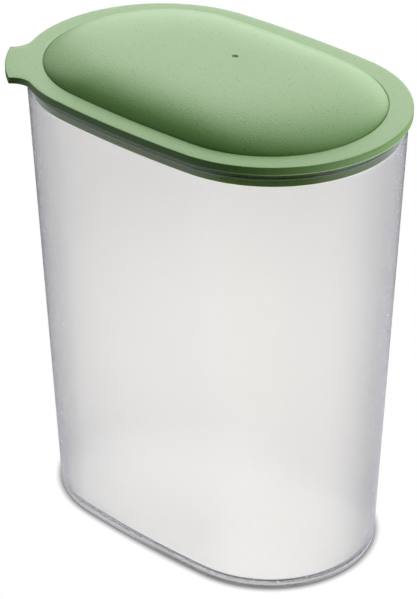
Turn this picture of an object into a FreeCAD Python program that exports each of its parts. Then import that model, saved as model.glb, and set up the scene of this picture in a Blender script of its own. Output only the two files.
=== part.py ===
import FreeCAD
import Part
import Sketcher
import math
import os

# Storage canister: a drafted oval container with a domed lift-off lid.
# Frame: origin at the centre of the base, +X along the length, +Y across, +Z up. Sizes in millimetres.

doc = FreeCAD.newDocument("canister")

# Driving dimensions

sheet = doc.addObject("Spreadsheet::Sheet", "sizes")
row = 0


def dim(name, value, note):
    """Adds one named driving dimension to the sheet."""
    global row
    row += 1
    sheet.set("A%d" % row, name)
    sheet.set("B%d" % row, str(value))
    sheet.set("C%d" % row, note)
    sheet.setAlias("B%d" % row, name)


# Container
dim("body_height", 247.8, "foot to rim")
dim("base_half_length", 94.7, "outside, at the foot")
dim("base_half_width", 57.3, "outside, at the foot")
dim("rim_half_length", 104.5, "outside, at the rim")
dim("rim_half_width", 68.65, "outside, at the rim")
dim("side_bow", 1.34, "half width less end radius: how far the long sides bow out")
dim("wall", 2.0, "side wall thickness")
dim("floor_thick", 2.9, "floor plate thickness")
dim("foot_round", 1.4, "outer bottom edge radius")
dim("floor_round", 3.0, "inner bottom corner radius")
dim("rim_round", 0.6, "rim edge radius")
dim("foot_width", 6.0, "width of the ring the canister stands on")
dim("foot_recess", 0.7, "depth of the hollow under the floor")

# Lid flange and its turned-down lip
dim("plate_thick", 2.2, "flange plate thickness, resting on the rim")
dim("lip_depth", 4.3, "height of the flange edge")
dim("lip_gap", 0.4, "lip to container wall")
dim("lip_thick", 1.5, "lip wall thickness, which sets the flange outline")
dim("flange_round", 0.5, "upper flange edge radius")
dim("lip_round", 0.5, "lower flange edge radius")

# Lid dome
dim("land_length", 11.65, "flat land from the flange edge to the crease, at the ends")
dim("land_width", 11.3, "flat land from the flange edge to the crease, at the sides")
dim("dome_bow", 1.25, "crease half width less its end radius")
dim("dome_back", 0.9, "dome's middle, towards the tab's end")
dim("dome_rise", 10.0, "flange top to crown")
dim("dome_fullness", 5.0, "2 is an ellipse, larger is flatter on top")
dim("dome_edge", 0.75, "0.5 meets the land upright, larger meets it on a slope")
dim("dome_wall", 2.0, "shell thickness at the crease")

# Plug skirt with two sealing ribs
dim("skirt_gap", 1.0, "skirt to container wall")
dim("skirt_thick", 1.8, "skirt wall thickness")
dim("skirt_depth", 10.2, "below the flange plate")
dim("skirt_round", 0.5, "lower skirt edge radius")
dim("rib_gap", 0.35, "sealing rib to container wall")
dim("rib_high", 1.0, "sealing rib height")
dim("rib_one_depth", 3.4, "flange plate to the upper rib's middle")
dim("rib_two_depth", 6.2, "flange plate to the lower rib's middle")
dim("rib_round", 0.3, "sealing rib edge radius")

# Pull tab at one corner
dim("tab_angle", 224.9, "direction of the tab, degrees from +X")
dim("tab_half_width", 18.4, "half of the tab's width")
dim("tab_flare", 11.0, "radius between the tab's sides and the flange outline")
dim("tab_reach", 8.4, "flange outline to tab tip")
dim("tab_overlap", 2.5, "tab root, inside the flange outline")
dim("tab_thick", 3.25, "tab thickness")

# Moulding gate dimple
dim("gate_x", 3.2, "gate position along the length")
dim("gate_y", 11.5, "gate position across")
dim("gate_radius", 1.7, "gate dimple radius")
dim("gate_depth", 0.7, "gate dimple depth under the crown")
doc.recompute()


def s(text):
    """Expression text with every sheet name given its sheet."""
    out = ""
    word = ""
    for ch in text + " ":
        if ch.isalnum() or ch == "_":
            word += ch
        else:
            if word and sheet.getCellFromAlias(word):
                word = "sizes." + word
            out += word + ch
            word = ""
    return out.strip()


probe = doc.addObject("Spreadsheet::Sheet", "probe")


def val(text):
    """Number that an expression over the sheet has now."""
    probe.set("A1", "=" + s(text))
    probe.recompute()
    got = probe.get("A1")
    return float(getattr(got, "Value", got))


# Sketch helpers

near = 0.01


def new_body(label):
    body = doc.addObject("PartDesign::Body", label)
    body.Label = label
    return body


def plane(body, role):
    for f in body.Origin.OriginFeatures:
        if f.Role == role:
            return f
    raise RuntimeError("no plane " + role)


def new_sketch(body, name, height):
    """Empty sketch lying flat at the height an expression gives."""
    sk = body.newObject("Sketcher::SketchObject", name)
    sk.AttachmentSupport = [(plane(body, "XY_Plane"), "")]
    sk.MapMode = "FlatFace"
    sk.setExpression("AttachmentOffset.Base.z", s(height))
    return sk


def add_oval(sk, half_length, half_width, end_radius):
    """Oval of four tangent arcs: two ends and two slightly bowed sides.

    Side radius: ((a - r)^2 + b^2 - r^2) / (2 (b - r)).
    """
    a = "(" + half_length + ")"
    b = "(" + half_width + ")"
    r = "(" + end_radius + ")"
    side = "((%s - %s) ^ 2 + %s ^ 2 - %s ^ 2) / (2 * (%s - %s))" % (a, r, b, r, b, r)
    centre = "%s - %s" % (a, r)
    vr = val(r)
    vs = val(side)
    vc = val(centre)
    ve = vs - val(b)
    half = math.atan2(vc, ve)
    up = FreeCAD.Vector(0, 0, 1)
    ends = math.pi / 2 - half
    arcs = (
        (FreeCAD.Vector(vc, 0, 0), vr, -ends, ends),
        (FreeCAD.Vector(0, -ve, 0), vs, ends, math.pi - ends),
        (FreeCAD.Vector(-vc, 0, 0), vr, math.pi - ends, math.pi + ends),
        (FreeCAD.Vector(0, ve, 0), vs, math.pi + ends, 2 * math.pi - ends),
    )
    first = sk.GeometryCount
    for mid, radius, start, stop in arcs:
        sk.addGeometry(Part.ArcOfCircle(Part.Circle(mid, up, radius), start, stop), False)
    for i in range(4):
        sk.addConstraint(Sketcher.Constraint("Tangent", first + i, 2, first + (i + 1) % 4, 1))
    sk.addConstraint(Sketcher.Constraint("Symmetric", first, 3, first + 2, 3, -1, 1))
    sk.addConstraint(Sketcher.Constraint("PointOnObject", first, 3, -1))
    sk.addConstraint(Sketcher.Constraint("Equal", first, first + 2))
    sk.addConstraint(Sketcher.Constraint("Equal", first + 1, first + 3))
    at = sk.addConstraint(Sketcher.Constraint("DistanceX", -1, 1, first, 3, vc))
    sk.setExpression("Constraints[%d]" % at, s(centre))
    at = sk.addConstraint(Sketcher.Constraint("Radius", first, vr))
    sk.setExpression("Constraints[%d]" % at, s(r))
    at = sk.addConstraint(Sketcher.Constraint("Radius", first + 1, vs))
    sk.setExpression("Constraints[%d]" % at, s(side))


def oval_sketch(body, name, height, half_length, half_width, end_radius):
    sk = new_sketch(body, name, height)
    add_oval(sk, half_length, half_width, end_radius)
    return sk


def loft(body, name, kind, sections, ruled):
    feat = body.newObject("PartDesign::" + kind, name)
    feat.Profile = sections[0]
    feat.Sections = sections[1:]
    feat.Ruled = ruled
    for sk in sections:
        sk.Visibility = False
    return feat


def pad(body, name, kind, sk, length, reverse):
    """Pad or Pocket of a sketch by an expression's length."""
    feat = body.newObject("PartDesign::" + kind, name)
    feat.Profile = sk
    feat.setExpression("Length", s(length))
    feat.Reversed = reverse
    sk.Visibility = False
    return feat


def edges_at(feat, low, high):
    """Names of the edges that lie wholly between two heights."""
    found = []
    for i, e in enumerate(feat.Shape.Edges):
        box = e.BoundBox
        if box.ZMin >= low and box.ZMax <= high:
            found.append("Edge%d" % (i + 1))
    return found


def edges_on(feat, low, high, half_length, half_width):
    """Names of the level edges between two heights whose middle is on an oval's end or side."""
    found = []
    for name in edges_at(feat, low, high):
        e = feat.Shape.getElement(name)
        mid = e.valueAt((e.FirstParameter + e.LastParameter) / 2)
        end = abs(abs(mid.x) - half_length) < near and abs(mid.y) < 1
        side = abs(abs(mid.y) - half_width) < near and abs(mid.x) < 1
        if e.BoundBox.ZLength < near and (end or side):
            found.append(name)
    return found


def fillet(body, name, feat, edges, radius):
    if not edges:
        raise RuntimeError("no edges for " + name)
    out = body.newObject("PartDesign::Fillet", name)
    out.Base = (feat, edges)
    out.setExpression("Radius", s(radius))
    doc.recompute()
    return out


# Container outside, then its hollow


def wall_length(height, inset):
    """Half length of the container's outside at a height, less an inset."""
    return ("base_half_length + (rim_half_length - base_half_length) * (%s) / body_height - (%s)"
            % (height, inset))


def wall_width(height, inset):
    return ("base_half_width + (rim_half_width - base_half_width) * (%s) / body_height - (%s)"
            % (height, inset))


def wall_oval(body, name, height, inset):
    """Oval that follows the container's drafted wall at a height, set in by an inset."""
    width = wall_width(height, inset)
    return oval_sketch(body, name, height, wall_length(height, inset), width, width + " - side_bow")


canister = new_body("canister_body")
shell = loft(canister, "Shell", "AdditiveLoft", [
    wall_oval(canister, "FootOutline", "0", "0"),
    wall_oval(canister, "RimOutline", "body_height", "0"),
], True)
hollow = loft(canister, "Hollow", "SubtractiveLoft", [
    wall_oval(canister, "FloorOutline", "floor_thick", "wall"),
    wall_oval(canister, "MouthOutline", "body_height", "wall"),
], True)
recess_sketch = wall_oval(canister, "RecessOutline", "0", "foot_width")
recess = pad(canister, "FootRecess", "Pocket", recess_sketch, "foot_recess", True)
doc.recompute()

floor_level = val("floor_thick")
rim_level = val("body_height")
floor_edges = edges_at(recess, floor_level - near, floor_level + near)
rounded = fillet(canister, "FloorRound", recess, floor_edges, "floor_round")
foot_edges = edges_on(rounded, -near, near, val("base_half_length"), val("base_half_width"))
rounded = fillet(canister, "FootRound", rounded, foot_edges, "foot_round")
rim_edges = edges_at(rounded, rim_level - near, rim_level + near)
rounded = fillet(canister, "RimRound", rounded, rim_edges, "rim_round")

# Lid: flange plate with a turned-down lip

lid = new_body("lid")
flange_top = "body_height + plate_thick"
flange_low = "body_height + plate_thick - lip_depth"
lid_length = "rim_half_length + lip_gap + lip_thick"
lid_width = "rim_half_width + lip_gap + lip_thick"
lid_radius = lid_width + " - side_bow"
flange_sketch = oval_sketch(lid, "FlangeOutline", flange_low, lid_length, lid_width, lid_radius)
flange = pad(lid, "Flange", "Pad", flange_sketch, "lip_depth", False)

# Pull tab: straight sides along its own direction, a tip concentric with the end,
# and fillets into the flange outline

tab_sketch = new_sketch(lid, "TabOutline", flange_top)
up = FreeCAD.Vector(0, 0, 1)
end_radius = "(%s)" % lid_radius
centre_x = "-(%s - %s)" % (lid_length, end_radius)
tip_radius = "(%s + tab_reach)" % end_radius
root_radius = "(%s - tab_overlap)" % end_radius
tip_along = "sqrt(%s ^ 2 - tab_half_width ^ 2)" % tip_radius
flare_along = "sqrt((%s + tab_flare) ^ 2 - (tab_half_width + tab_flare) ^ 2)" % end_radius
flare_share = "(tab_half_width + tab_flare) / (%s + tab_flare)" % end_radius
flare_run = "sqrt(1 - (%s) ^ 2)" % flare_share


def tab_point(along, across):
    """X and Y expressions of a point given along the tab and across it."""
    x = "%s + (%s) * cos(tab_angle) - (%s) * sin(tab_angle)" % (centre_x, along, across)
    y = "(%s) * sin(tab_angle) + (%s) * cos(tab_angle)" % (along, across)
    return x, y


def spot(point):
    return FreeCAD.Vector(val(point[0]), val(point[1]), 0)


def turn_to(mid, point):
    return math.atan2(point.y - mid.y, point.x - mid.x)


def arc_between(mid, start, stop):
    """Arc about a middle, anticlockwise from one point to another."""
    one = turn_to(mid, start)
    two = turn_to(mid, stop)
    if two < one:
        two += 2 * math.pi
    return Part.ArcOfCircle(Part.Circle(mid, up, (start - mid).Length), one, two)


end_middle = (centre_x, "0")
tip = {}
bend = {}
foot = {}
root = {}
flare = {}
for side, sign in (("low", "-1"), ("high", "1")):
    tip[side] = tab_point(tip_along, "%s * tab_half_width" % sign)
    bend[side] = tab_point(flare_along, "%s * tab_half_width" % sign)
    flare[side] = tab_point(flare_along, "%s * (tab_half_width + tab_flare)" % sign)
    run = "%s * (%s)"
    share = "%s * %s * (%s)"
    foot[side] = tab_point(run % (end_radius, flare_run), share % (sign, end_radius, flare_share))
    root[side] = tab_point(run % (root_radius, flare_run), share % (sign, root_radius, flare_share))


def tab_arc(middle, start, stop):
    return tab_sketch.addGeometry(arc_between(spot(middle), spot(start), spot(stop)), False)


def tab_line(start, stop):
    return tab_sketch.addGeometry(Part.LineSegment(spot(start), spot(stop)), False)


tip_arc = tab_arc(end_middle, tip["low"], tip["high"])
root_arc = tab_arc(end_middle, root["low"], root["high"])
edge = {}
bow = {}
link = {}
for side in ("low", "high"):
    edge[side] = tab_line(tip[side], bend[side])
    link[side] = tab_line(root[side], foot[side])
bow["low"] = tab_arc(flare["low"], bend["low"], foot["low"])
bow["high"] = tab_arc(flare["high"], foot["high"], bend["high"])


def tab_join(kind, *where):
    tab_sketch.addConstraint(Sketcher.Constraint(kind, *where))


def tab_size(kind, expression, *where):
    at = tab_sketch.addConstraint(Sketcher.Constraint(kind, *where, val(expression)))
    tab_sketch.setExpression("Constraints[%d]" % at, s(expression))


def tab_fix(point, geometry, end):
    """Holds one end of a line or arc at a point's two expressions."""
    tab_size("DistanceX", point[0], -1, 1, geometry, end)
    tab_size("DistanceY", point[1], -1, 1, geometry, end)


tab_join("Coincident", tip_arc, 3, root_arc, 3)
tab_join("PointOnObject", tip_arc, 3, -1)
for side, arc_end, bow_bend, bow_foot in (("low", 1, 1, 2), ("high", 2, 2, 1)):
    tab_fix(tip[side], edge[side], 1)
    tab_fix(bend[side], edge[side], 2)
    tab_size("DistanceX", root[side][0], -1, 1, link[side], 1)
    tab_fix(foot[side], link[side], 2)
    tab_join("Coincident", tip_arc, arc_end, edge[side], 1)
    tab_join("Coincident", root_arc, arc_end, link[side], 1)
    tab_join("Coincident", bow[side], bow_bend, edge[side], 2)
    tab_join("Coincident", bow[side], bow_foot, link[side], 2)
    tab_size("Radius", "tab_flare", bow[side])
tab_size("Radius", root_radius, root_arc)
tab = pad(lid, "Tab", "Pad", tab_sketch, "tab_thick", True)
doc.recompute()

flange_level = val(flange_top)
lip_level = val(flange_low)
flange_edges = edges_at(tab, flange_level - near, flange_level + near)
rounded = fillet(lid, "FlangeRound", tab, flange_edges, "flange_round")

# Underside: the plate's lower face, inside the lip

lip_length = "rim_half_length + lip_gap"
lip_width = "rim_half_width + lip_gap"
seat_sketch = oval_sketch(lid, "LipInside", flange_low, lip_length, lip_width, lip_width + " - side_bow")
seat = pad(lid, "Seat", "Pocket", seat_sketch, "lip_depth - plate_thick", True)
doc.recompute()
rounded = fillet(lid, "LipRound", seat, edges_at(seat, lip_level - near, lip_level + near), "lip_round")

# Dome: a pillow of scaled outlines, z = rise sin(t)^(2 edge), scale = cos(t)^(2 / fullness)

crease_length = lid_length + " - land_length"
crease_width = lid_width + " - land_width"
steps = (0, 12, 24, 36, 48, 58, 67, 75, 81, 85)


def dome_sections(name, level, inset):
    out = []
    for t in steps:
        scale = "cos(%d deg) ^ (2 / dome_fullness)" % t
        height = "%s + dome_rise * sin(%d deg) ^ (2 * dome_edge)" % (level, t)
        out.append(oval_sketch(
            lid, "%s%d" % (name, t), height,
            "(%s - %s) * %s" % (crease_length, inset, scale),
            "(%s - %s) * %s" % (crease_width, inset, scale),
            "(%s - dome_bow - %s) * %s" % (crease_width, inset, scale)))
        out[-1].setExpression("AttachmentOffset.Base.x", s("-dome_back"))
    return out


outside = dome_sections("DomeOutline", flange_top, "0")
dome = loft(lid, "Dome", "AdditiveLoft", outside, False)
inside = dome_sections("HollowOutline", "body_height", "dome_wall")
under = loft(lid, "DomeHollow", "SubtractiveLoft", inside, False)

# Plug skirt with its two sealing ribs

skirt_low = "body_height - skirt_depth"


def skirt_ring(name, height, inset, thick):
    """Ring-shaped section of the skirt at a height."""
    sk = wall_oval(lid, name, height, inset)
    width = wall_width(height, inset + " + " + thick)
    add_oval(sk, wall_length(height, inset + " + " + thick), width, width + " - side_bow")
    return sk


skirt = loft(lid, "Skirt", "AdditiveLoft", [
    skirt_ring("SkirtTop", "body_height", "wall + skirt_gap", "skirt_thick"),
    skirt_ring("SkirtLow", skirt_low, "wall + skirt_gap", "skirt_thick"),
], True)
doc.recompute()
skirt_level = val(skirt_low)
skirt_edge = edges_at(skirt, skirt_level - near, skirt_level + near)
rounded = fillet(lid, "SkirtRound", skirt, skirt_edge, "skirt_round")

for name, depth in (("RibUpper", "rib_one_depth"), ("RibLower", "rib_two_depth")):
    height = "body_height - %s - rib_high / 2" % depth
    ring = skirt_ring(name + "Ring", height, "wall + rib_gap", "skirt_gap - rib_gap + skirt_thick / 2")
    rib = pad(lid, name, "Pad", ring, "rib_high", False)
    doc.recompute()
    low = val(height)
    high = low + val("rib_high")
    rib_length = val(wall_length(height, "wall + rib_gap"))
    rib_width = val(wall_width(height, "wall + rib_gap"))
    rib_edges = edges_on(rib, low - near, high + near, rib_length, rib_width)
    rounded = fillet(lid, name + "Round", rib, rib_edges, "rib_round")

# Gate dimple on the crown

gate_sketch = new_sketch(lid, "GateOutline", flange_top + " + dome_rise")
gate = gate_sketch.addGeometry(
    Part.Circle(FreeCAD.Vector(val("gate_x"), val("gate_y"), 0), up, val("gate_radius")), False)
at = gate_sketch.addConstraint(Sketcher.Constraint("DistanceX", -1, 1, gate, 3, val("gate_x")))
gate_sketch.setExpression("Constraints[%d]" % at, s("gate_x"))
at = gate_sketch.addConstraint(Sketcher.Constraint("DistanceY", -1, 1, gate, 3, val("gate_y")))
gate_sketch.setExpression("Constraints[%d]" % at, s("gate_y"))
at = gate_sketch.addConstraint(Sketcher.Constraint("Radius", gate, val("gate_radius")))
gate_sketch.setExpression("Constraints[%d]" % at, s("gate_radius"))
dimple = pad(lid, "GateDimple", "Pocket", gate_sketch, "gate_depth", False)
doc.recompute()

# Check and write each piece

doc.removeObject("probe")
os.makedirs("parts", exist_ok=True)
for ob in doc.Objects:
    if "Invalid" in ob.State or "Error" in ob.State:
        raise RuntimeError("%s is %s" % (ob.Label, ob.State))
for body in (canister, lid):
    shape = body.Shape
    if not shape.isValid() or len(shape.Solids) != 1:
        raise RuntimeError("%s: valid %s, solids %d" % (body.Label, shape.isValid(), len(shape.Solids)))
    box = shape.BoundBox
    print("%s: volume %.0f, z %.2f to %.2f" % (body.Label, shape.Volume, box.ZMin, box.ZMax))
    shape.exportStep("parts/%s.step" % body.Label)
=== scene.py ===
# %% [markdown]
# # A storage canister
#
# The object is two plastic mouldings: a tall oval container of frosted, see-through plastic, and a soft
# green lid with a pillow dome, a flange and a pull tab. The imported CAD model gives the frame, the sizes and
# the joint. This file gives both mouldings smooth surfaces worked out with numpy, finishes them with
# procedural materials, and lights them.

# %% Load the frame and keep the CAD box
import math

import bpy
import numpy as np
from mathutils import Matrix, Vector


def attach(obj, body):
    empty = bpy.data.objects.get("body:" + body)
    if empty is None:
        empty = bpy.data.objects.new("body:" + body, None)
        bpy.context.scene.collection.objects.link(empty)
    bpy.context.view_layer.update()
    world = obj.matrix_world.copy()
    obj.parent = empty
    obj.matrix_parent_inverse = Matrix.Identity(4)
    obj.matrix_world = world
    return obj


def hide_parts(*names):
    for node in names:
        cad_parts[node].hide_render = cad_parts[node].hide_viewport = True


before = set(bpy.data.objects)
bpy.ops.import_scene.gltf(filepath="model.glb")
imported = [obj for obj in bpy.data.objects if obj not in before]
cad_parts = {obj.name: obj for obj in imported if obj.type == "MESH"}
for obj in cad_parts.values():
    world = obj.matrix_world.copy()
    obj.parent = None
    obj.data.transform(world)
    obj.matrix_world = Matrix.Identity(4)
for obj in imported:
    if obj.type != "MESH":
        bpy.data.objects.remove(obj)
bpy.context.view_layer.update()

MM = 0.001
scene = bpy.context.scene

# %% [markdown]
# ## Camera
#
# The photograph was taken with a long lens from above one corner. The direction, the distance and the lens
# were solved from the lid's outline, the rim and the base, so they are written here as plain numbers. The
# small shift moves the picture without turning the camera, which keeps upright edges as they are.

# %% Camera
VIEW_TURN = math.radians(42.408)
VIEW_RISE = math.radians(30.324)
VIEW_ROLL = math.radians(-0.12)
VIEW_DISTANCE = 1.3315
VIEW_TARGET = Vector((0, 0, 0.125))
LENS_PIXELS = 2569.7
SENSOR_WIDTH = 36.0
IMAGE_SIZE = (417, 599)
IMAGE_MIDDLE = (214.97, 298.77)


def direction(turn, rise):
    """Unit vector (sin t cos r, -cos t cos r, sin r): t turns anticlockwise from the front, r lifts."""
    level_part = math.cos(rise)
    return Vector((math.sin(turn) * level_part, -math.cos(turn) * level_part, math.sin(rise)))


backwards = direction(VIEW_TURN, VIEW_RISE)
camera_data = bpy.data.cameras.new("camera")
camera = bpy.data.objects.new("camera", camera_data)
scene.collection.objects.link(camera)
camera.location = VIEW_TARGET + backwards * VIEW_DISTANCE
camera.rotation_euler = backwards.to_track_quat("Z", "Y").to_euler()
camera.rotation_euler.rotate_axis("Z", VIEW_ROLL)
long_side = max(IMAGE_SIZE)
camera_data.sensor_width = SENSOR_WIDTH
camera_data.lens = LENS_PIXELS * SENSOR_WIDTH / long_side
camera_data.shift_x = (IMAGE_SIZE[0] / 2 - IMAGE_MIDDLE[0]) / long_side
camera_data.shift_y = (IMAGE_MIDDLE[1] - IMAGE_SIZE[1] / 2) / long_side
scene.camera = camera
print("lens %.1f mm, shift %.4f %.4f" % (camera_data.lens, camera_data.shift_x, camera_data.shift_y))

# %% [markdown]
# ## Oval rings
#
# Every level of both mouldings is an oval of four arcs that meet at tangents: two round ends, and two long
# sides that bow out a little. If each ring has its points at the same shares of the same arcs, rings of any
# size can be joined point to point. The stations are crowded where the pull tab leaves the flange, because
# its outline turns fast there.

# %% Stations around an oval
SIDE_BOW = 1.34 * MM
RIM_LENGTH, RIM_WIDTH = 104.5 * MM, 68.65 * MM
LIP_GAP, LIP_THICK = 0.4 * MM, 1.5 * MM
LID_LENGTH, LID_WIDTH = RIM_LENGTH + LIP_GAP + LIP_THICK, RIM_WIDTH + LIP_GAP + LIP_THICK
LID_RADIUS = LID_WIDTH - SIDE_BOW
TAB_TURN = math.radians(224.9)
TAB_HALF_WIDTH, TAB_FLARE, TAB_REACH = 18.4 * MM, 11.0 * MM, 8.4 * MM
END_COUNT, SIDE_COUNT = 132, 40
BEFORE_TAB, AFTER_TAB = 84, 20
FILLET_COUNT, TAB_SIDE_COUNT, TIP_COUNT = 12, 4, 28


def arcs_of(half_length, half_width, end_radius):
    """Tangent arcs for half sizes a and b and end radius r.

    The ends' centres lie at c = a - r. The sides have radius R = (c^2 + b^2 - r^2) / (2 (b - r)), centres at
    e = R - b, and turn by half = atan(c / e) to each side of the middle.
    """
    c = half_length - end_radius
    side_radius = (c ** 2 + half_width ** 2 - end_radius ** 2) / (2 * (half_width - end_radius))
    e = side_radius - half_width
    return c, e, side_radius, math.atan2(c, e)


def shares(count, low=0.0, high=1.0):
    """Even steps from low up to, but not at, high."""
    return np.linspace(low, high, count, endpoint=False)


LID_CENTRE, _, _, LID_HALF = arcs_of(LID_LENGTH, LID_WIDTH, LID_RADIUS)
FOOT_TURN = math.asin((TAB_HALF_WIDTH + TAB_FLARE) / (LID_RADIUS + TAB_FLARE))
END_SPAN = math.pi - 2 * LID_HALF
TAB_SHARES = [(TAB_TURN + side * FOOT_TURN - math.pi / 2 - LID_HALF) / END_SPAN for side in (-1, 1)]
TAB_STATIONS = 2 * (FILLET_COUNT + TAB_SIDE_COUNT) + TIP_COUNT

tab_end = np.concatenate([
    shares(BEFORE_TAB, 0, TAB_SHARES[0]),
    shares(TAB_STATIONS, *TAB_SHARES),
    shares(AFTER_TAB, TAB_SHARES[1], 1)])
arc_shares = [shares(END_COUNT), shares(SIDE_COUNT), tab_end, shares(SIDE_COUNT)]
station_share = np.concatenate(arc_shares)
station_arc = np.repeat(np.arange(4), [len(arc) for arc in arc_shares])
STATIONS = len(station_share)
TAB_FIRST = END_COUNT + SIDE_COUNT + BEFORE_TAB
print("stations", STATIONS, "tab from", TAB_FIRST)


def oval(half_length, half_width, end_radius):
    """One ring, (n, 2): centre + radius (cos t, sin t), with t stepped along each arc by the shares."""
    c, e, side_radius, half = arcs_of(half_length, half_width, end_radius)
    end = math.pi - 2 * half
    starts = np.array([-end / 2, math.pi / 2 - half, math.pi / 2 + half, 1.5 * math.pi - half])
    spans = np.array([end, 2 * half, end, 2 * half])
    middles = np.array([(c, 0), (0, -e), (-c, 0), (0, e)])
    radii = np.array([end_radius, side_radius, end_radius, side_radius])
    t = starts[station_arc] + spans[station_arc] * station_share
    return middles[station_arc] + radii[station_arc, None] * np.stack([np.cos(t), np.sin(t)], axis=1)


# %% Rings to a closed mesh


def level(points, z):
    """Gives a flat ring its height."""
    return np.column_stack([points, np.broadcast_to(z, len(points))])


def moulding(name, first_pole, rings, last_pole, slots, sharp_degrees):
    """Closed mesh: a pole, rings joined by quads (k,i) (k+1,i) (k+1,i+1) (k,i+1), and a pole."""
    grid = np.stack(rings)
    count, n = grid.shape[:2]
    points = np.concatenate([[first_pole], grid.reshape(-1, 3), [last_pole]])
    at = 1 + np.arange(count * n).reshape(count, n)
    after = np.roll(at, -1, axis=1)
    quads = np.stack([at[:-1], at[1:], after[1:], after[:-1]], axis=-1).reshape(-1, 4)
    first_fan = np.stack([np.zeros(n, int), at[0], after[0]], axis=-1)
    last_fan = np.stack([np.full(n, len(points) - 1), after[-1], at[-1]], axis=-1)
    face_slots = np.concatenate([np.repeat(slots, n), np.full(n, slots[0]), np.full(n, slots[-1])])
    mesh = bpy.data.meshes.new(name)
    mesh.from_pydata(points.tolist(), [], quads.tolist() + first_fan.tolist() + last_fan.tolist())
    mesh.polygons.foreach_set("material_index", face_slots)
    mesh.shade_smooth()
    mesh.set_sharp_from_angle(angle=math.radians(sharp_degrees))
    mesh.update()
    piece = bpy.data.objects.new(name, mesh)
    scene.collection.objects.link(piece)
    print(name, "rings", count, "triangles", 2 * len(quads) + 2 * n)
    return piece


def corner(radius, start, stop, count):
    """Offsets along a rounded corner: radius (cos t, sin t) from one angle to another, in degrees."""
    t = np.radians(np.linspace(start, stop, count))
    return radius * np.column_stack([np.cos(t), np.sin(t)])


# %% [markdown]
# ## Container
#
# The real container is injection moulded: its wall leans out so that it leaves the mould, its floor is a
# plate a little thicker than the wall, and it stands on a narrow ring around a shallow recess. The section
# is one path, from the middle of the floor up the inside, over the rim, down the outside and under the foot.
# Carrying that path around the oval gives a closed wall with a true thickness, which light needs to pass
# through it properly.

# %% Container section
BODY_HEIGHT = 247.8 * MM
BASE_LENGTH, BASE_WIDTH = 94.7 * MM, 57.3 * MM
WALL, FLOOR_THICK = 2.0 * MM, 2.9 * MM
FOOT_ROUND, FLOOR_ROUND, RIM_ROUND = 1.4 * MM, 3.0 * MM, 0.6 * MM
FOOT_WIDTH, FOOT_RECESS, FOOT_HIGH, FOOT_CHAMFER = 6.0 * MM, 0.7 * MM, 3.6 * MM, 0.3 * MM
FROST_HIGH, CLEAR_LOW = BODY_HEIGHT - 10.2 * MM, BODY_HEIGHT - 9.4 * MM
UNDER_RIM = BODY_HEIGHT - 3.0 * MM
INSIDE_LOW = 12.0 * MM
OUTSIDE_LOW, OUTSIDE_HIGH = 6.0 * MM, BODY_HEIGHT - 20.0 * MM
WALL_STEPS, FLOOR_STEPS, RIM_STEPS, FOOT_STEPS = 20, 10, 6, 8


def wall_ring(z, inset):
    """Ring that follows the leaning wall: half sizes grow evenly from base to rim, less an inset."""
    up = z / BODY_HEIGHT
    length = BASE_LENGTH + (RIM_LENGTH - BASE_LENGTH) * up - inset
    width = BASE_WIDTH + (RIM_WIDTH - BASE_WIDTH) * up - inset
    return level(oval(length, width, width - SIDE_BOW), z)


inside_floor = [(FLOOR_THICK + FLOOR_ROUND + dz, WALL + FLOOR_ROUND - dx)
                for dx, dz in corner(FLOOR_ROUND, -90, 0, FLOOR_STEPS)]
inside_wall = [(z, WALL) for z in np.linspace(INSIDE_LOW, FROST_HIGH, WALL_STEPS)] + [(UNDER_RIM, WALL)]
rim = [(BODY_HEIGHT - RIM_ROUND + dz, WALL - RIM_ROUND + dx)
       for dx, dz in corner(RIM_ROUND, 0, 90, RIM_STEPS)]
rim += [(BODY_HEIGHT - RIM_ROUND + dz, RIM_ROUND + dx)
        for dx, dz in corner(RIM_ROUND, 90, 180, RIM_STEPS)]
outside_wall = [(UNDER_RIM, 0.0), (CLEAR_LOW, 0.0)]
outside_wall += [(z, 0.0) for z in np.linspace(OUTSIDE_HIGH, OUTSIDE_LOW, WALL_STEPS)] + [(FOOT_HIGH, 0.0)]
foot = [(FOOT_ROUND + dz, FOOT_ROUND + dx) for dx, dz in corner(FOOT_ROUND, 180, 270, FOOT_STEPS)]
under = [(0.0, FOOT_WIDTH - FOOT_CHAMFER), (FOOT_CHAMFER, FOOT_WIDTH), (FOOT_RECESS, FOOT_WIDTH)]
section = inside_floor + inside_wall + rim + outside_wall + foot + under
print("container section points", len(section))

# %% Container mesh
FROSTED, SATIN, SHADED_FOOT, CLEAR_BAND = range(4)
PLATE_SCALES = np.linspace(0.1, 0.98, 10)
HAIR = 0.01 * MM

floor_rings = [wall_ring(FLOOR_THICK, WALL + FLOOR_ROUND) * (k, k, 1) for k in PLATE_SCALES]
recess_rings = [wall_ring(FOOT_RECESS, FOOT_WIDTH) * (k, k, 1) for k in PLATE_SCALES[::-1]]
heights = np.array(
    [FLOOR_THICK] * len(floor_rings) + [z for z, inset in section] + [FOOT_RECESS] * len(recess_rings))
inside = np.arange(len(heights)) < len(floor_rings + inside_floor + inside_wall)
frosted = inside & (heights <= FROST_HIGH)
clear = np.where(inside, heights >= FROST_HIGH, heights >= CLEAR_LOW)
# Painted shade: the outside up to the foot's height gets a grey finish.
shaded_foot = ~inside & (heights <= FOOT_HIGH + HAIR)
# The recess and the two rings at its edge stay satin.
shaded_foot[-len(recess_rings) - 2:] = False
wall_slots = np.full(len(heights) - 1, SATIN)
for slot, part in ((FROSTED, frosted), (SHADED_FOOT, shaded_foot), (CLEAR_BAND, clear)):
    wall_slots[part[:-1] & part[1:]] = slot
container = moulding(
    "container", (0, 0, FLOOR_THICK),
    floor_rings + [wall_ring(z, inset) for z, inset in section] + recess_rings,
    (0, 0, FOOT_RECESS), wall_slots, sharp_degrees=40)
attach(container, "container")
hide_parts("canister_body")

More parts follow.
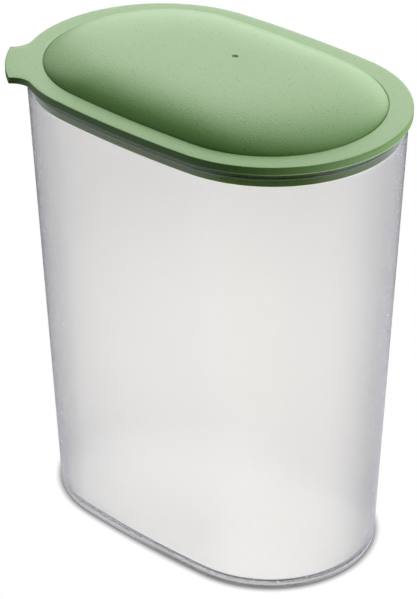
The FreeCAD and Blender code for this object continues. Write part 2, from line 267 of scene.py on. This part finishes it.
# %% [markdown]
# ## Lid outline with its pull tab
#
# The flange is an oval, but at one corner a tab stands out of it: straight sides, a tip that runs parallel
# to the end, and a fillet on each side where it grows out of the flange. The outline is worked out as one
# closed line at the same stations as the ovals. To round its edge, the line is moved inwards along its own
# normals, with a mitre at the tab's two crisp corners.

# %% Flange outline
tab_along = np.array([math.cos(TAB_TURN), math.sin(TAB_TURN)])
tab_across = np.array([-tab_along[1], tab_along[0]])
end_middle = np.array([-LID_CENTRE, 0.0])


def tab_path():
    """Fillet, side, tip arc, side, fillet: points in the tab's own along and across directions."""
    tip_radius = LID_RADIUS + TAB_REACH
    flare_across = TAB_HALF_WIDTH + TAB_FLARE
    flare_along = math.sqrt((LID_RADIUS + TAB_FLARE) ** 2 - flare_across ** 2)
    tip_along = math.sqrt(tip_radius ** 2 - TAB_HALF_WIDTH ** 2)
    tip_turn = math.asin(TAB_HALF_WIDTH / tip_radius)
    t = shares(FILLET_COUNT, FOOT_TURN, math.pi / 2)
    fillet = np.column_stack([flare_along - TAB_FLARE * np.cos(t), TAB_FLARE * np.sin(t) - flare_across])
    a = shares(TAB_SIDE_COUNT, flare_along, tip_along)
    side = np.column_stack([a, np.full(len(a), -TAB_HALF_WIDTH)])
    t = shares(TIP_COUNT, -tip_turn, tip_turn)
    tip = tip_radius * np.column_stack([np.cos(t), np.sin(t)])
    a = shares(TAB_SIDE_COUNT, tip_along, flare_along)
    other_side = np.column_stack([a, np.full(len(a), TAB_HALF_WIDTH)])
    t = shares(FILLET_COUNT, math.pi / 2, FOOT_TURN)
    other_fillet = np.column_stack([
        flare_along - TAB_FLARE * np.cos(t), flare_across - TAB_FLARE * np.sin(t)])
    path = np.concatenate([fillet, side, tip, other_side, other_fillet])
    return end_middle + path[:, :1] * tab_along + path[:, 1:] * tab_across


plain_outline = oval(LID_LENGTH, LID_WIDTH, LID_RADIUS)
flange_outline = plain_outline.copy()
on_tab = np.arange(TAB_FIRST, TAB_FIRST + TAB_STATIONS)
flange_outline[on_tab] = tab_path()


def mitres(line):
    """Mitred outward normals of a closed line: (n1 + n2) / (1 + n1 . n2)."""
    step = np.roll(line, -1, axis=0) - line
    step /= np.linalg.norm(step, axis=1)[:, None]
    normal = np.column_stack([step[:, 1], -step[:, 0]])
    before = np.roll(normal, 1, axis=0)
    return (before + normal) / (1 + (before * normal).sum(axis=1))[:, None]


outline_normal = mitres(flange_outline)
farthest = np.linalg.norm(flange_outline - plain_outline, axis=1).max()
print("tab reaches %.1f mm" % (farthest / MM))

# %% [markdown]
# ## Lid
#
# The dome is a pillow: its level lines are the crease's outline made smaller and smaller, at heights that
# follow a full curve, so it rises steeply from the crease and is nearly flat on top. Near the crown is the
# small dimple where the plastic was fed into the mould. Under the flange hang a short lip that hides the rim
# and a plug skirt with two sealing ribs, which show through the container's wall as thin lines.

# %% Dome rings
PLATE = 2.2 * MM
FLANGE_TOP = BODY_HEIGHT + PLATE
LAND_LENGTH, LAND_WIDTH = 11.65 * MM, 11.3 * MM
DOME_LENGTH, DOME_WIDTH, DOME_RADIUS = LID_LENGTH - LAND_LENGTH, LID_WIDTH - LAND_WIDTH, 58.0 * MM
DOME_BACK = 0.9 * MM
# The rise is a hair under the CAD dome's 10 mm, so that the smooth crown stays inside its box.
DOME_RISE, DOME_FULLNESS, DOME_EDGE, DOME_WALL = 9.93 * MM, 5.0, 0.75, 2.0 * MM
GATE_X, GATE_Y, GATE_RADIUS, GATE_DEPTH = 3.2 * MM, 11.5 * MM, 1.7 * MM, 0.7 * MM
CROWN_FIRST, CROWN_SCALE, CROWN_RINGS = 0.006, 0.26, 64
SHOULDER_RINGS = 56


def dome_height(scale):
    """Height of the pillow at a scale of its outline: rise (1 - scale^fullness)^edge."""
    return DOME_RISE * np.clip(1 - scale ** DOME_FULLNESS, 0, 1) ** DOME_EDGE


def dome_ring(scale, base, inset):
    """The crease's outline moved in and scaled, at the pillow's height above a base."""
    ring = oval(DOME_LENGTH - inset, DOME_WIDTH - inset, DOME_RADIUS - inset) * scale
    return level(ring - (DOME_BACK, 0), base + dome_height(scale))


def dimple(ring):
    """Sinks the points near the gate: depth (1 - (d / radius)^4) inside the radius."""
    away = np.hypot(ring[:, 0] - GATE_X, ring[:, 1] - GATE_Y) / GATE_RADIUS
    sunk = ring.copy()
    sunk[:, 2] -= GATE_DEPTH * np.clip(1 - away ** 4, 0, 1)
    return sunk


crown_scales = np.linspace(CROWN_FIRST, CROWN_SCALE, CROWN_RINGS)
shoulder_scales = CROWN_SCALE + (1 - CROWN_SCALE) * np.sin(np.linspace(0, math.pi / 2, SHOULDER_RINGS)[1:])
dome_scales = np.concatenate([crown_scales, shoulder_scales])
dome_rings = [dimple(dome_ring(k, FLANGE_TOP, 0.0)) for k in dome_scales]
print("dome rings", len(dome_rings))

# %% Flange and lip
LIP_DEPTH, TAB_THICK = 4.3 * MM, 3.25 * MM
FLANGE_ROUND, LIP_ROUND = 0.5 * MM, 0.5 * MM
FLANGE_STEPS, LIP_STEPS = 7, 5
LIP_LOW, TAB_LOW = FLANGE_TOP - LIP_DEPTH, FLANGE_TOP - TAB_THICK
GROOVE_WIDTH, GROOVE_DEPTH = 0.5 * MM, 0.45 * MM
GROOVE_FLOOR = (0.05 * MM, 0.25 * MM)
SHELF_INSET, LAND_SHARES = 3.0 * MM, (0.0, 0.35, 0.7, 1.0)
EDGE_ABOVE_TAB, TAB_EDGE, TAB_CLEAR, LIP_STRAIGHT = 0.5 * MM, 0.3 * MM, 0.02 * MM, 0.2 * MM


def flange_ring(inset, z):
    """The flange outline, tab and all, moved in along its normals."""
    return level(flange_outline - inset * outline_normal, z)


def plain_ring(inset, z):
    """The flange outline without its tab, moved in."""
    return level(oval(LID_LENGTH - inset, LID_WIDTH - inset, LID_RADIUS - inset), z)


def crease_ring(out, depth):
    """The crease's outline moved outwards and down."""
    ring = oval(DOME_LENGTH + out, DOME_WIDTH + out, DOME_RADIUS + out)
    return level(ring - (DOME_BACK, 0), FLANGE_TOP - depth)


def lip_ring(out, z):
    """The lip's inner face, which follows the rim at the lip's gap, moved outwards."""
    length, width = RIM_LENGTH + LIP_GAP + out, RIM_WIDTH + LIP_GAP + out
    return level(oval(length, width, width - SIDE_BOW), z)


land = crease_ring(GROOVE_WIDTH, 0.0)
shelf = plain_ring(SHELF_INSET, FLANGE_TOP)
flange_rings = [crease_ring(out, GROOVE_DEPTH) for out in GROOVE_FLOOR]
flange_rings += [land + (shelf - land) * k for k in LAND_SHARES]
flange_rings += [flange_ring(FLANGE_ROUND - dx, FLANGE_TOP - FLANGE_ROUND + dz)
                 for dx, dz in corner(FLANGE_ROUND, 90, 0, FLANGE_STEPS)]
low_edge = np.full(STATIONS, TAB_LOW + EDGE_ABOVE_TAB)
low_edge[on_tab] = TAB_LOW
flange_rings += [level(flange_outline, low_edge + TAB_EDGE), level(flange_outline, low_edge)]
flange_rings += [plain_ring(0, TAB_LOW - TAB_CLEAR), plain_ring(0, LIP_LOW + LIP_ROUND + LIP_STRAIGHT)]
flange_rings += [plain_ring(LIP_ROUND - dx, LIP_LOW + LIP_ROUND + dz)
                 for dx, dz in corner(LIP_ROUND, 0, -90, LIP_STEPS)]

seat = FLANGE_TOP - PLATE
lip_rings = [lip_ring(LIP_ROUND + dx, LIP_LOW + LIP_ROUND + dz)
             for dx, dz in corner(LIP_ROUND, 270, 180, LIP_STEPS)]
lip_rings += [lip_ring(0, seat)]
print("flange rings", len(flange_rings), "lip rings", len(lip_rings))

# %% Skirt with sealing ribs
SKIRT_GAP, SKIRT_THICK, SKIRT_DEPTH, SKIRT_ROUND = 1.0 * MM, 1.8 * MM, 10.2 * MM, 0.5 * MM
RIB_GAP, RIB_HIGH, RIB_ROUND = 0.35 * MM, 1.0 * MM, 0.3 * MM
RIB_DEPTHS = (3.4 * MM, 6.2 * MM)
RIB_STEPS, SKIRT_STEPS = 4, 5
RIB_RINGS = 2 * RIB_STEPS + 2

skirt_out = WALL + SKIRT_GAP
skirt_in = skirt_out + SKIRT_THICK
skirt_low = seat - SKIRT_DEPTH
rib_tip = WALL + RIB_GAP
skirt_section = [(seat, skirt_out)]
for depth in RIB_DEPTHS:
    high = seat - depth + RIB_HIGH / 2
    low = seat - depth - RIB_HIGH / 2
    skirt_section += [(high, skirt_out)]
    skirt_section += [(high - RIB_ROUND + dz, rib_tip + RIB_ROUND - dx)
                      for dx, dz in corner(RIB_ROUND, 90, 0, RIB_STEPS)]
    skirt_section += [(low + RIB_ROUND + dz, rib_tip + RIB_ROUND - dx)
                      for dx, dz in corner(RIB_ROUND, 0, -90, RIB_STEPS)]
    skirt_section += [(low, skirt_out)]
skirt_section += [(skirt_low + SKIRT_ROUND + dz, skirt_out + SKIRT_ROUND - dx)
                  for dx, dz in corner(SKIRT_ROUND, 0, -90, SKIRT_STEPS)]
skirt_section += [(skirt_low + SKIRT_ROUND + dz, skirt_in - SKIRT_ROUND - dx)
                  for dx, dz in corner(SKIRT_ROUND, 270, 180, SKIRT_STEPS)]
skirt_section += [(seat, skirt_in)]
skirt_rings = [wall_ring(z, inset) for z, inset in skirt_section]
print("skirt rings", len(skirt_rings))

# %% Lid mesh
# Strip k lies between ring k and ring k + 1. The skirt starts with one ring at the seat, then has RIB_RINGS
# for each rib. The lip's lower edge and the crest of the lower rib get a paler green, a painted highlight,
# and the skirt below that rib gets a brighter green, painted light.
GREEN, HIGHLIGHT, LIT_SKIRT = range(3)
HOLLOW_FIRST, HOLLOW_RINGS = 0.12, 40

hollow_scales = HOLLOW_FIRST + (1 - HOLLOW_FIRST) * np.cos(np.linspace(0, math.pi / 2, HOLLOW_RINGS))
hollow_rings = [dome_ring(k, seat, DOME_WALL) for k in hollow_scales]
lid_rings = dome_rings + flange_rings + lip_rings + skirt_rings + hollow_rings
lip_first = len(dome_rings + flange_rings)
lower_rib = lip_first + len(lip_rings) + 1 + RIB_RINGS
below_rib = lower_rib + 2 * RIB_STEPS
lid_slots = np.full(len(lid_rings) - 1, GREEN)
# Painted highlight on the lip's lower edge.
lid_slots[lip_first - LIP_STEPS - 1:lip_first - 1] = HIGHLIGHT
# Painted highlight on the lower rib's crest.
lid_slots[lower_rib + 2:lower_rib + 2 + RIB_STEPS] = HIGHLIGHT
# Painted light: a brighter green on the skirt below the lower rib.
lid_slots[below_rib - 1:below_rib + 1 + SKIRT_STEPS] = LIT_SKIRT
lid = moulding(
    "lid_moulding", (-DOME_BACK, 0, FLANGE_TOP + DOME_RISE), lid_rings,
    (-DOME_BACK, 0, seat + DOME_RISE), lid_slots, sharp_degrees=35)
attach(lid, "lid")
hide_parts("lid")

# %% [markdown]
# ## Finishes
#
# All finishes are node trees on Object coordinates, so their grain stays put when the lid is lifted. The lid
# is a satin green with a fine grain and scattered dark flecks. A paler copy paints highlights on the lip's
# lower edge and the lower rib's crest, and a brighter copy paints light on the skirt below that rib. The
# container lets light through, and its roughness decides how that looks: the inside is frosted and spreads
# the light as ground glass does, the outside is satin, and the band under the rim is nearly smooth, so the
# lid's skirt and ribs show there. The foot has a greyer colour: painted shade where its plastic is seen edge
# on. The grain is a node group that every finish shares.

# %% Node helpers


def add_node(tree, kind, **values):
    """Adds a node and sets its own options."""
    node = tree.nodes.new(kind)
    for key, value in values.items():
        setattr(node, key, value)
    return node


def set_inputs(node, values):
    """Sets a node's sockets by name."""
    for socket, value in values.items():
        node.inputs[socket].default_value = value


def fleck_group():
    """Shared grain: a fine noise, and flecks where distance to a Voronoi seed < the cell's random share."""
    group = bpy.data.node_groups.new("moulded_flecks", "ShaderNodeTree")
    for name in ("Grain Scale", "Fleck Scale", "Fleck Share"):
        group.interface.new_socket(name, in_out="INPUT", socket_type="NodeSocketFloat")
    for name in ("Grain", "Flecks"):
        group.interface.new_socket(name, in_out="OUTPUT", socket_type="NodeSocketFloat")
    link = group.links.new
    ins = add_node(group, "NodeGroupInput")
    outs = add_node(group, "NodeGroupOutput")
    place = add_node(group, "ShaderNodeTexCoord")
    grain = add_node(group, "ShaderNodeTexNoise")
    set_inputs(grain, {"Detail": 3.0})
    link(place.outputs["Object"], grain.inputs["Vector"])
    link(ins.outputs["Grain Scale"], grain.inputs["Scale"])
    cells = add_node(group, "ShaderNodeTexVoronoi", feature="F1")
    link(place.outputs["Object"], cells.inputs["Vector"])
    link(ins.outputs["Fleck Scale"], cells.inputs["Scale"])
    chance = add_node(group, "ShaderNodeSeparateColor")
    link(cells.outputs["Color"], chance.inputs["Color"])
    limit = add_node(group, "ShaderNodeMath", operation="MULTIPLY")
    link(chance.outputs["Red"], limit.inputs[0])
    link(ins.outputs["Fleck Share"], limit.inputs[1])
    within = add_node(group, "ShaderNodeMath", operation="LESS_THAN")
    link(cells.outputs["Distance"], within.inputs[0])
    link(limit.outputs[0], within.inputs[1])
    link(grain.outputs["Fac"], outs.inputs["Grain"])
    link(within.outputs[0], outs.inputs["Flecks"])
    return group


flecks = fleck_group()
print("group", flecks.name)

# %% Lid finish
LID_GREEN, LID_GREEN_PALE = (0.16, 0.365, 0.077, 1), (0.215, 0.435, 0.115, 1)
# Painted highlight: a paler green for the lip's lower edge and the lower rib's crest.
HIGHLIGHT_GREEN, HIGHLIGHT_GREEN_PALE = (0.47, 0.66, 0.39, 1), (0.54, 0.71, 0.46, 1)
# Painted light: a brighter green for the skirt below the lower rib.
LIT_SKIRT_GREEN, LIT_SKIRT_GREEN_PALE = (0.27, 0.56, 0.06, 1), (0.32, 0.61, 0.09, 1)
FLECK_GREEN = (0.095, 0.24, 0.045, 1)


def green_plastic(name, colour, pale):
    """Satin plastic: grain mixes two greens and lifts the surface, flecks lie over it."""
    finish = bpy.data.materials.new(name)
    finish.use_nodes = True
    tree = finish.node_tree
    link = tree.links.new
    shader = tree.nodes["Principled BSDF"]
    set_inputs(shader, {"IOR": 1.5, "Roughness": 0.42})
    grain = add_node(tree, "ShaderNodeGroup", node_tree=flecks)
    set_inputs(grain, {"Grain Scale": 900.0, "Fleck Scale": 420.0, "Fleck Share": 0.19})
    shade = add_node(tree, "ShaderNodeMix", data_type="RGBA")
    set_inputs(shade, {"A": colour, "B": pale})
    link(grain.outputs["Grain"], shade.inputs["Factor"])
    flecked = add_node(tree, "ShaderNodeMix", data_type="RGBA")
    set_inputs(flecked, {"B": FLECK_GREEN})
    link(grain.outputs["Flecks"], flecked.inputs["Factor"])
    link(shade.outputs["Result"], flecked.inputs["A"])
    link(flecked.outputs["Result"], shader.inputs["Base Color"])
    bump = add_node(tree, "ShaderNodeBump")
    set_inputs(bump, {"Strength": 0.26, "Distance": 0.0004})
    link(grain.outputs["Grain"], bump.inputs["Height"])
    link(bump.outputs["Normal"], shader.inputs["Normal"])
    return finish


lid.data.materials.append(green_plastic("satin_green_plastic", LID_GREEN, LID_GREEN_PALE))
# The second finish paints highlights, and the third paints light on the skirt.
lid.data.materials.append(green_plastic("highlight_green_plastic", HIGHLIGHT_GREEN, HIGHLIGHT_GREEN_PALE))
lid.data.materials.append(green_plastic("lit_skirt_green_plastic", LIT_SKIRT_GREEN, LIT_SKIRT_GREEN_PALE))
print("lid finishes", len(lid.data.materials))

# %% Container finish
FROST, FROST_DEEP = (0.935, 0.93, 0.92, 1), (0.90, 0.90, 0.90, 1)
CLEAR, CLEAR_DEEP = (0.985, 0.985, 0.985, 1), (0.965, 0.967, 0.972, 1)
# Painted shade: a grey for the foot band, where its plastic is seen edge on.
FOOT_SHADE, FOOT_SHADE_DEEP = (0.43, 0.43, 0.45, 1), (0.38, 0.38, 0.40, 1)
GRAIN_LOW, GRAIN_HIGH = 0.3, 0.7


def see_through(name, pale, deep, low_rough, high_rough, bump_strength):
    """Plastic that lets light through, with cloud in its colour and grain in its roughness and height."""
    finish = bpy.data.materials.new(name)
    finish.use_nodes = True
    tree = finish.node_tree
    link = tree.links.new
    shader = tree.nodes["Principled BSDF"]
    set_inputs(shader, {"IOR": 1.49, "Transmission Weight": 1.0})
    cloud = add_node(tree, "ShaderNodeGroup", node_tree=flecks)
    set_inputs(cloud, {"Grain Scale": 22.0})
    colour = add_node(tree, "ShaderNodeMix", data_type="RGBA")
    set_inputs(colour, {"A": pale, "B": deep})
    link(cloud.outputs["Grain"], colour.inputs["Factor"])
    link(colour.outputs["Result"], shader.inputs["Base Color"])
    grain = add_node(tree, "ShaderNodeGroup", node_tree=flecks)
    set_inputs(grain, {"Grain Scale": 700.0})
    rough = add_node(tree, "ShaderNodeMapRange")
    set_inputs(rough, {"From Min": GRAIN_LOW, "From Max": GRAIN_HIGH})
    set_inputs(rough, {"To Min": low_rough, "To Max": high_rough})
    link(grain.outputs["Grain"], rough.inputs["Value"])
    link(rough.outputs["Result"], shader.inputs["Roughness"])
    bump = add_node(tree, "ShaderNodeBump")
    set_inputs(bump, {"Strength": bump_strength, "Distance": 0.0002})
    link(grain.outputs["Grain"], bump.inputs["Height"])
    link(bump.outputs["Normal"], shader.inputs["Normal"])
    return finish


for name, pale, deep, roughness, bump_strength in (
        ("frosted_clear_plastic", FROST, FROST_DEEP, (0.36, 0.46), 0.05),
        ("satin_clear_plastic", CLEAR, CLEAR_DEEP, (0.20, 0.28), 0.02),
        ("shaded_foot_plastic", FOOT_SHADE, FOOT_SHADE_DEEP, (0.26, 0.36), 0.01),
        ("clear_plastic", CLEAR, CLEAR_DEEP, (0.03, 0.07), 0.005)):
    container.data.materials.append(see_through(name, pale, deep, *roughness, bump_strength))
print("container finishes", len(container.data.materials))

# %% [markdown]
# ## Stage
#
# Clear and frosted plastic is photographed in a bright field: the sheet behind it glows, and everything that
# the wall could mirror stays dim, so the outline reads as a darker edge. A floor with one brightness can't do
# both. Its shader therefore asks the Light Path node which kind of ray arrives. The camera sees white paper.
# Rays that went through the wall see a warm glowing sheet, brighter or dimmer in rings. Rays that were
# mirrored see a cooler floor: dim in front after one mirror bounce, bright after several, as inside the thick
# foot. Rays from the lid's matt faces see a dim floor in front and a bright one on the right. The Ambient
# Occlusion node darkens the paper only within a few millimetres of the foot, as a contact shadow does.

# %% Floor sheet
FLOOR_HALF = 6.0

scene.view_settings.view_transform = "Standard"
floor_mesh = bpy.data.meshes.new("floor")
floor_corners = FLOOR_HALF * np.array([(-1, -1, 0), (1, -1, 0), (1, 1, 0), (-1, 1, 0)])
floor_mesh.from_pydata(floor_corners.tolist(), [], [(0, 1, 2, 3)])
floor = bpy.data.objects.new("floor", floor_mesh)
scene.collection.objects.link(floor)

floor_finish = bpy.data.materials.new("white_sweep")
floor_finish.use_nodes = True
floor_finish.cycles.emission_sampling = "NONE"
floor_mesh.materials.append(floor_finish)
floor_tree = floor_finish.node_tree
floor_link = floor_tree.links.new
floor_shader = floor_tree.nodes["Principled BSDF"]
set_inputs(floor_shader, {"Base Color": (0, 0, 0, 1), "Roughness": 1.0, "Specular IOR Level": 0.0})
print("floor %.0f m wide" % (2 * FLOOR_HALF))

# %% Floor places: distance from the middle, and how far to the right
floor_place = add_node(floor_tree, "ShaderNodeTexCoord")
far = add_node(floor_tree, "ShaderNodeVectorMath", operation="LENGTH")
floor_link(floor_place.outputs["Object"], far.inputs[0])
rightwards = add_node(floor_tree, "ShaderNodeVectorMath", operation="DOT_PRODUCT")
rightwards.inputs[1].default_value = (math.cos(VIEW_TURN), math.sin(VIEW_TURN), 0)
floor_link(floor_place.outputs["Object"], rightwards.inputs[0])
right_share = add_node(floor_tree, "ShaderNodeMath", operation="DIVIDE")
floor_link(rightwards.outputs["Value"], right_share.inputs[0])
floor_link(far.outputs["Value"], right_share.inputs[1])


def blended(place, low, high, start, change):
    """start + change smoothstep(low, high, place); start is a number or another blend."""
    weight = add_node(floor_tree, "ShaderNodeMapRange", interpolation_type="SMOOTHSTEP")
    set_inputs(weight, {"From Min": low, "From Max": high})
    floor_link(place, weight.inputs["Value"])
    blend = add_node(floor_tree, "ShaderNodeMath", operation="MULTIPLY_ADD")
    blend.inputs[1].default_value = change
    floor_link(weight.outputs["Result"], blend.inputs[0])
    if isinstance(start, float):
        blend.inputs[2].default_value = start
    else:
        floor_link(start, blend.inputs[2])
    return blend.outputs[0]


print("floor nodes", len(floor_tree.nodes))

# %% Floor brightness for each kind of ray
# Rings: radius in metres, and the glow inside the first, between them and beyond the last. Sides: the
# brightness in front, on the right and on the left.
SHEET_RINGS = (0.36, 0.60, 1.20)
SHEET_GLOW = (1.2, 0.6, 1.6, 0.45)
RING_SOFTNESS = 0.15
SIDE_FROM, SIDE_FULL = 0.4, 0.95
GLOSS_ONCE = (0.04, 0.8, 0.55)
GLOSS_AGAIN = (1.3, 0.0, 0.3)
DIFFUSE_SIDES = (0.01, 2.3, 0.1)
DIFFUSE_INSIDE = 0.3


def by_side(front, right, left):
    """Brightness that changes from the front towards the right and the left of the floor."""
    to_right = blended(right_share.outputs[0], SIDE_FROM, SIDE_FULL, front, right - front)
    return blended(right_share.outputs[0], -SIDE_FROM, -SIDE_FULL, to_right, left - front)


def counted(depth, least=0.5):
    """1 for rays that have made this kind of turn more often than least."""
    gate = add_node(floor_tree, "ShaderNodeMath", operation="GREATER_THAN")
    gate.inputs[1].default_value = least
    floor_link(floor_rays.outputs[depth], gate.inputs[0])
    return gate.outputs[0]


def chosen(factor, first, second, data_type="FLOAT"):
    """Mix node: first where the factor is 0, second where it is 1."""
    mix = add_node(floor_tree, "ShaderNodeMix", data_type=data_type)
    floor_link(factor, mix.inputs["Factor"])
    for socket, value in (("A", first), ("B", second)):
        if isinstance(value, (float, tuple)):
            mix.inputs[socket].default_value = value
        else:
            floor_link(value, mix.inputs[socket])
    return mix.outputs["Result"]


floor_rays = add_node(floor_tree, "ShaderNodeLightPath")
sheet = SHEET_GLOW[0]
for radius, glow, next_glow in zip(SHEET_RINGS, SHEET_GLOW, SHEET_GLOW[1:]):
    soft = RING_SOFTNESS * radius
    sheet = blended(far.outputs["Value"], radius - soft, radius + soft, sheet, next_glow - glow)
is_mirrored = counted("Glossy Depth")
mirrored = chosen(counted("Glossy Depth", 1.5), by_side(*GLOSS_ONCE), by_side(*GLOSS_AGAIN))
scattered = chosen(counted("Transmission Depth"), by_side(*DIFFUSE_SIDES), DIFFUSE_INSIDE)
arriving = chosen(counted("Diffuse Depth"), chosen(is_mirrored, sheet, mirrored), scattered)
print("floor nodes", len(floor_tree.nodes))

# %% Paper with a contact shadow, and tints
SHADOW_REACH, SHADOW_SAMPLES = 0.0038, 16
SHADOW_CLOSED, SHADOW_DARK = 0.45, 0.25
SHEET_TINT, MIRROR_TINT = (1.02, 1.002, 0.968, 1.0), (0.955, 0.958, 1.085, 1.0)
PAPER_WHITE = (1.0, 1.0, 1.0, 1.0)

contact = add_node(floor_tree, "ShaderNodeAmbientOcclusion", samples=SHADOW_SAMPLES)
set_inputs(contact, {"Distance": SHADOW_REACH})
paper = add_node(floor_tree, "ShaderNodeMapRange")
set_inputs(paper, {"From Min": SHADOW_CLOSED, "From Max": 1.0, "To Min": SHADOW_DARK, "To Max": 1.0})
floor_link(contact.outputs["AO"], paper.inputs["Value"])
to_camera = floor_rays.outputs["Is Camera Ray"]
floor_link(chosen(to_camera, arriving, paper.outputs["Result"]), floor_shader.inputs["Emission Strength"])
tint = chosen(is_mirrored, SHEET_TINT, MIRROR_TINT, "RGBA")
floor_link(chosen(to_camera, tint, PAPER_WHITE, "RGBA"), floor_shader.inputs["Emission Color"])
print("floor nodes", len(floor_tree.nodes))

# %% [markdown]
# ## Light
#
# The surround is white for the camera, and a little dimmer for rays that pass straight through the plastic.
# It lights nothing else, so the lid's green is shaped by soft panels alone. They stand around the canister in
# three rows. The brightest are behind it, which gives the pale, skimming light on top of the lid and leaves
# the side that faces the camera in its own soft shade.

# %% Surround
BACKDROP_GLOW = 0.8

world = bpy.data.worlds.new("surround")
world.cycles.sampling_method = "NONE"
world.use_nodes = True
world_tree = world.node_tree
world_link = world_tree.links.new
world_rays = add_node(world_tree, "ShaderNodeLightPath")
unscattered = add_node(world_tree, "ShaderNodeMath", operation="LESS_THAN")
unscattered.inputs[1].default_value = 0.5
world_link(world_rays.outputs["Diffuse Depth"], unscattered.inputs[0])
through = add_node(world_tree, "ShaderNodeMath", operation="MULTIPLY")
through.inputs[1].default_value = BACKDROP_GLOW
world_link(unscattered.outputs[0], through.inputs[0])
backdrop = add_node(world_tree, "ShaderNodeMath", operation="MULTIPLY_ADD")
world_link(world_rays.outputs["Is Transmission Ray"], backdrop.inputs[0])
world_link(through.outputs[0], backdrop.inputs[1])
world_link(world_rays.outputs["Is Camera Ray"], backdrop.inputs[2])
background = world_tree.nodes["Background"]
background.inputs["Color"].default_value = (1, 1, 1, 1)
world_link(backdrop.outputs[0], background.inputs["Strength"])
scene.world = world
print("surround nodes", len(world_tree.nodes))

# %% Soft panels
# A row is a rise and a half height. A softbox has a row, its turn from the camera's side, the span of its
# width and its brightness. Angles are in degrees, and the fills leave a gap between neighbours.
PANEL_DISTANCE = 3.0
WIDTH_FILL, HEIGHT_FILL = 0.96, 0.97
LOW, MIDDLE, HIGH = (11, 11), (34, 12), (58, 12)
SOFTBOXES = (
    ("back_low", LOW, 165, 60, 3.4),
    ("back_middle", MIDDLE, 165, 60, 3.7),
    ("back_high", HIGH, 180, 45, 2.6),
    ("back_left_low", LOW, 210, 30, 1.1),
    ("back_left_middle", MIDDLE, 210, 30, 2.2),
    ("back_right_high", HIGH, 135, 45, 1.7),
    ("right_low", LOW, 75, 60, 1.2),
    ("right_middle", MIDDLE, 90, 90, 0.9),
    ("right_high", HIGH, 90, 45, 0.75),
    ("left_low", LOW, 270, 30, 0.8),
    ("left_middle", MIDDLE, 270, 30, 0.65),
)
TOP_RISE, TOP_HALF, TOP_BRIGHTNESS = 90, 19, 0.3


def panel(name, turn, rise, width, height, brightness):
    """Soft panel aimed at the canister; turn 0 is the camera's side, energy = brightness pi width height."""
    light = bpy.data.lights.new(name, "AREA")
    light.shape = "RECTANGLE"
    light.size, light.size_y = width, height
    light.energy = brightness * math.pi * width * height
    lamp = bpy.data.objects.new(name, light)
    scene.collection.objects.link(lamp)
    way = direction(VIEW_TURN + math.radians(turn), math.radians(rise))
    lamp.location = VIEW_TARGET + way * PANEL_DISTANCE
    lamp.rotation_euler = way.to_track_quat("Z", "Y").to_euler()


def across(half_degrees):
    """Width at the panels' distance that fills twice this angle."""
    return 2 * PANEL_DISTANCE * math.tan(math.radians(half_degrees))


for name, (rise, half_height), turn, span, brightness in SOFTBOXES:
    width = across(span / 2) * math.cos(math.radians(rise)) * WIDTH_FILL
    panel(name, turn, rise, width, across(half_height) * HEIGHT_FILL, brightness)
panel("top", 0, TOP_RISE, across(TOP_HALF), across(TOP_HALF), TOP_BRIGHTNESS)
